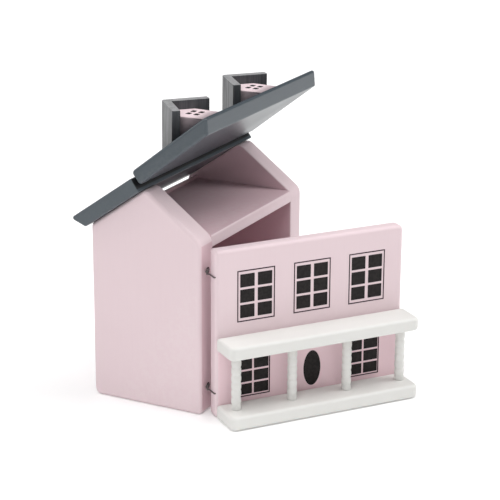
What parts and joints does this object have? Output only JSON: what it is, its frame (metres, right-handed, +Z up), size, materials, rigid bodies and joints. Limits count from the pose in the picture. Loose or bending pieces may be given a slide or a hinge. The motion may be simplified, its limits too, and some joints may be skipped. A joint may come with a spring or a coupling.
{
  "type": "wooden dollhouse",
  "caption": "Small painted wooden dollhouse: gabled body with floors, a front with a turned-post porch that swings open, and a hinged roof flap with dormers.",
  "frame": {"origin": "on the ground under the middle of the house body, midway between the gable walls and midway front to back", "axes": "+Z up, +X to the right seen from the front, -Y out of the open front of the house body"},
  "size_m": [0.1027, 0.1276, 0.1245],
  "materials": {
    "pink_paint": "matt pale pink paint on smooth wood",
    "slate_paint": "matt slate blue-grey paint on wood",
    "white_paint": "matt warm white paint on wood",
    "grey_stain": "grey stained wood with open grain",
    "wire": "dull drawn wire"
  },
  "bodies": {
    "house": {"left_gable_wall": "pink_paint", "right_gable_wall": "pink_paint", "back_wall": "pink_paint", "base_floor": "pink_paint", "middle_floor": "pink_paint", "attic_floor": "pink_paint", "back_roof_panel": "slate_paint", "upper_wall_eye": "wire", "lower_wall_eye": "wire", "left_roof_eye": "wire", "right_roof_eye": "wire"},
    "flap": {"roof_flap": "slate_paint", "left_dormer_block": "pink_paint", "right_dormer_block": "pink_paint", "left_dormer_left_board": "grey_stain", "left_dormer_right_board": "grey_stain", "right_dormer_left_board": "grey_stain", "right_dormer_right_board": "grey_stain", "left_roof_hook": "wire", "right_roof_hook": "wire"},
    "front": {"front_panel": "pink_paint", "porch_roof": "white_paint", "porch_base": "white_paint", "post_1": "white_paint", "post_2": "white_paint", "post_3": "white_paint", "post_4": "white_paint", "upper_panel_hook": "wire", "lower_panel_hook": "wire"}
  },
  "joints": [
    {"name": "front_swing", "type": "hinge", "parent": "house", "child": "front", "pos_m": [-0.0424, -0.0264, 0.0353], "axis": [0, 0, -1], "range_deg": [-37, 83]},
    {"name": "flap_lift", "type": "hinge", "parent": "house", "child": "flap", "pos_m": [0, 0.00156, 0.09343], "axis": [-1, 0, 0], "range_deg": [-72.65, 8]}
  ]
}
